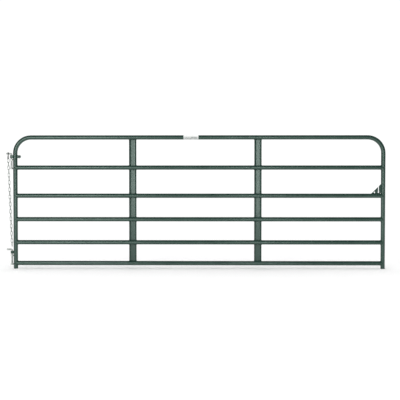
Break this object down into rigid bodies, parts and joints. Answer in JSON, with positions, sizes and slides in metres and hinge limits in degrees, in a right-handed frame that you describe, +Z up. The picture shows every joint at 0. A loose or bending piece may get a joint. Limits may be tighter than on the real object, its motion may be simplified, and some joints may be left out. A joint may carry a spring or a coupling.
{
  "type": "livestock panel gate",
  "caption": "Wide tubular steel farm gate with horizontal rails, channel braces, hook-bolt hinges, a latch gusset and a hanging latch chain.",
  "frame": {"origin": "on the hinge line, which runs through the legs of both hook bolts, level with the open feet of the stiles", "axes": "+X from the hinge line along the gate to the latch stile, +Z up, -Y towards the side that the braces' open faces look to"},
  "size_m": [3.6044, 0.0494, 1.2703],
  "materials": {
    "green_paint": "dark green gloss powder coat",
    "zinc_plate": "zinc plated, dull",
    "dark_plate": "dark, slightly worn",
    "label_film": "white film with grey marks"
  },
  "bodies": {
    "post_hooks": {"upper_hook_bolt": "zinc_plate", "upper_hook_nuts": "zinc_plate", "lower_hook_bolt": "zinc_plate", "lower_hook_nuts": "zinc_plate"},
    "leaf": {"frame_tube": "green_paint", "rail_2": "green_paint", "rail_3": "green_paint", "rail_4": "green_paint", "rail_5": "green_paint", "rail_6": "green_paint", "brace_hinge_side": "green_paint", "brace_latch_side": "green_paint", "latch_gusset": "green_paint", "upper_hinge_strap": "green_paint", "strap_bolt": "dark_plate", "strap_nut": "dark_plate", "lower_hinge_eye": "green_paint", "label": "label_film"},
    "s_hook": {"s_hook": "dark_plate"},
    "chain_link_01": {"chain_link_01": "zinc_plate"},
    "chain_link_02": {"chain_link_02": "zinc_plate"},
    "chain_link_03": {"chain_link_03": "zinc_plate"},
    "chain_link_04": {"chain_link_04": "zinc_plate"},
    "chain_link_05": {"chain_link_05": "zinc_plate"},
    "chain_link_06": {"chain_link_06": "zinc_plate"},
    "chain_link_07": {"chain_link_07": "zinc_plate"},
    "chain_link_08": {"chain_link_08": "zinc_plate"},
    "chain_link_09": {"chain_link_09": "zinc_plate"},
    "chain_link_10": {"chain_link_10": "zinc_plate"},
    "chain_link_11": {"chain_link_11": "zinc_plate"},
    "chain_link_12": {"chain_link_12": "zinc_plate"},
    "chain_link_13": {"chain_link_13": "zinc_plate"},
    "chain_link_14": {"chain_link_14": "zinc_plate"},
    "chain_link_15": {"chain_link_15": "zinc_plate"},
    "chain_link_16": {"chain_link_16": "zinc_plate"},
    "chain_link_17": {"chain_link_17": "zinc_plate"},
    "chain_link_18": {"chain_link_18": "zinc_plate"},
    "chain_link_19": {"chain_link_19": "zinc_plate"},
    "chain_link_20": {"chain_link_20": "zinc_plate"},
    "chain_link_21": {"chain_link_21": "zinc_plate"},
    "chain_link_22": {"chain_link_22": "zinc_plate"},
    "chain_link_23": {"chain_link_23": "zinc_plate"},
    "chain_link_24": {"chain_link_24": "zinc_plate"}
  },
  "joints": [
    {"name": "gate_swing", "type": "hinge", "parent": "post_hooks", "child": "leaf", "pos_m": [0, 0, 1.067], "axis": [0, 0, 1], "range_deg": [-90, 90]},
    {"name": "s_hook_swing", "type": "hinge", "parent": "post_hooks", "child": "s_hook", "pos_m": [-0.032, 0, 1.09544], "axis": [-1, 0, 0], "range_deg": [-30, 30]},
    {"name": "link_01_swing", "type": "hinge", "parent": "s_hook", "child": "chain_link_01", "pos_m": [-0.032, 0, 1.04468], "axis": [-0.5, 0.866, 0], "range_deg": [0, 40]},
    {"name": "link_02_swing", "type": "hinge", "parent": "chain_link_01", "child": "chain_link_02", "pos_m": [-0.03044, 0, 1.01016], "axis": [0.9993, 0, 0.0384], "range_deg": [-45, 45]},
    {"name": "link_03_swing", "type": "hinge", "parent": "chain_link_02", "child": "chain_link_03", "pos_m": [-0.02911, 0, 0.97539], "axis": [0, -1, 0], "range_deg": [-40, 0]},
    {"name": "link_04_swing", "type": "hinge", "parent": "chain_link_03", "child": "chain_link_04", "pos_m": [-0.02777, 0, 0.94061], "axis": [-0.9993, 0, -0.0384], "range_deg": [-45, 45]},
    {"name": "link_05_swing", "type": "hinge", "parent": "chain_link_04", "child": "chain_link_05", "pos_m": [-0.02643, 0, 0.90584], "axis": [0, 1, 0], "range_deg": [0, 40]},
    {"name": "link_06_swing", "type": "hinge", "parent": "chain_link_05", "child": "chain_link_06", "pos_m": [-0.0251, 0, 0.87106], "axis": [0.9993, 0, 0.0384], "range_deg": [-45, 45]},
    {"name": "link_07_swing", "type": "hinge", "parent": "chain_link_06", "child": "chain_link_07", "pos_m": [-0.02376, 0, 0.83629], "axis": [0, -1, 0], "range_deg": [-40, 0]},
    {"name": "link_08_swing", "type": "hinge", "parent": "chain_link_07", "child": "chain_link_08", "pos_m": [-0.02243, 0, 0.80151], "axis": [-0.9993, 0, -0.0384], "range_deg": [-45, 45]},
    {"name": "link_09_swing", "type": "hinge", "parent": "chain_link_08", "child": "chain_link_09", "pos_m": [-0.02109, 0, 0.76674], "axis": [0, 1, 0], "range_deg": [0, 40]},
    {"name": "link_10_swing", "type": "hinge", "parent": "chain_link_09", "child": "chain_link_10", "pos_m": [-0.01975, 0, 0.73196], "axis": [0.9993, 0, 0.0384], "range_deg": [-45, 45]},
    {"name": "link_11_swing", "type": "hinge", "parent": "chain_link_10", "child": "chain_link_11", "pos_m": [-0.01842, 0, 0.69719], "axis": [0, -1, 0], "range_deg": [-40, 0]},
    {"name": "link_12_swing", "type": "hinge", "parent": "chain_link_11", "child": "chain_link_12", "pos_m": [-0.01708, 0, 0.66242], "axis": [-0.9993, 0, -0.0384], "range_deg": [-45, 45]},
    {"name": "link_13_swing", "type": "hinge", "parent": "chain_link_12", "child": "chain_link_13", "pos_m": [-0.01575, 0, 0.62764], "axis": [0, 1, 0], "range_deg": [0, 40]},
    {"name": "link_14_swing", "type": "hinge", "parent": "chain_link_13", "child": "chain_link_14", "pos_m": [-0.01441, 0, 0.59287], "axis": [0.9993, 0, 0.0384], "range_deg": [-45, 45]},
    {"name": "link_15_swing", "type": "hinge", "parent": "chain_link_14", "child": "chain_link_15", "pos_m": [-0.01307, 0, 0.55809], "axis": [0, -1, 0], "range_deg": [-40, 0]},
    {"name": "link_16_swing", "type": "hinge", "parent": "chain_link_15", "child": "chain_link_16", "pos_m": [-0.01174, 0, 0.52332], "axis": [-0.9993, 0, -0.0384], "range_deg": [-45, 45]},
    {"name": "link_17_swing", "type": "hinge", "parent": "chain_link_16", "child": "chain_link_17", "pos_m": [-0.0104, 0, 0.48855], "axis": [0, 1, 0], "range_deg": [0, 40]},
    {"name": "link_18_swing", "type": "hinge", "parent": "chain_link_17", "child": "chain_link_18", "pos_m": [-0.00907, 0, 0.45377], "axis": [0.9993, 0, 0.0384], "range_deg": [-45, 45]},
    {"name": "link_19_swing", "type": "hinge", "parent": "chain_link_18", "child": "chain_link_19", "pos_m": [-0.00773, 0, 0.419], "axis": [0, -1, 0], "range_deg": [-40, 0]},
    {"name": "link_20_swing", "type": "hinge", "parent": "chain_link_19", "child": "chain_link_20", "pos_m": [-0.00639, 0, 0.38422], "axis": [-0.9993, 0, -0.0384], "range_deg": [-45, 45]},
    {"name": "link_21_swing", "type": "hinge", "parent": "chain_link_20", "child": "chain_link_21", "pos_m": [-0.00506, 0, 0.34945], "axis": [0, 1, 0], "range_deg": [0, 40]},
    {"name": "link_22_swing", "type": "hinge", "parent": "chain_link_21", "child": "chain_link_22", "pos_m": [-0.00372, 0, 0.31467], "axis": [0.9993, 0, 0.0384], "range_deg": [-45, 45]},
    {"name": "link_23_swing", "type": "hinge", "parent": "chain_link_22", "child": "chain_link_23", "pos_m": [-0.00239, 0, 0.2799], "axis": [0, -1, 0], "range_deg": [-40, 0]},
    {"name": "link_24_swing", "type": "hinge", "parent": "chain_link_23", "child": "chain_link_24", "pos_m": [-0.00105, 0, 0.24512], "axis": [-0.9993, 0, -0.0384], "range_deg": [-45, 45]}
  ]
}
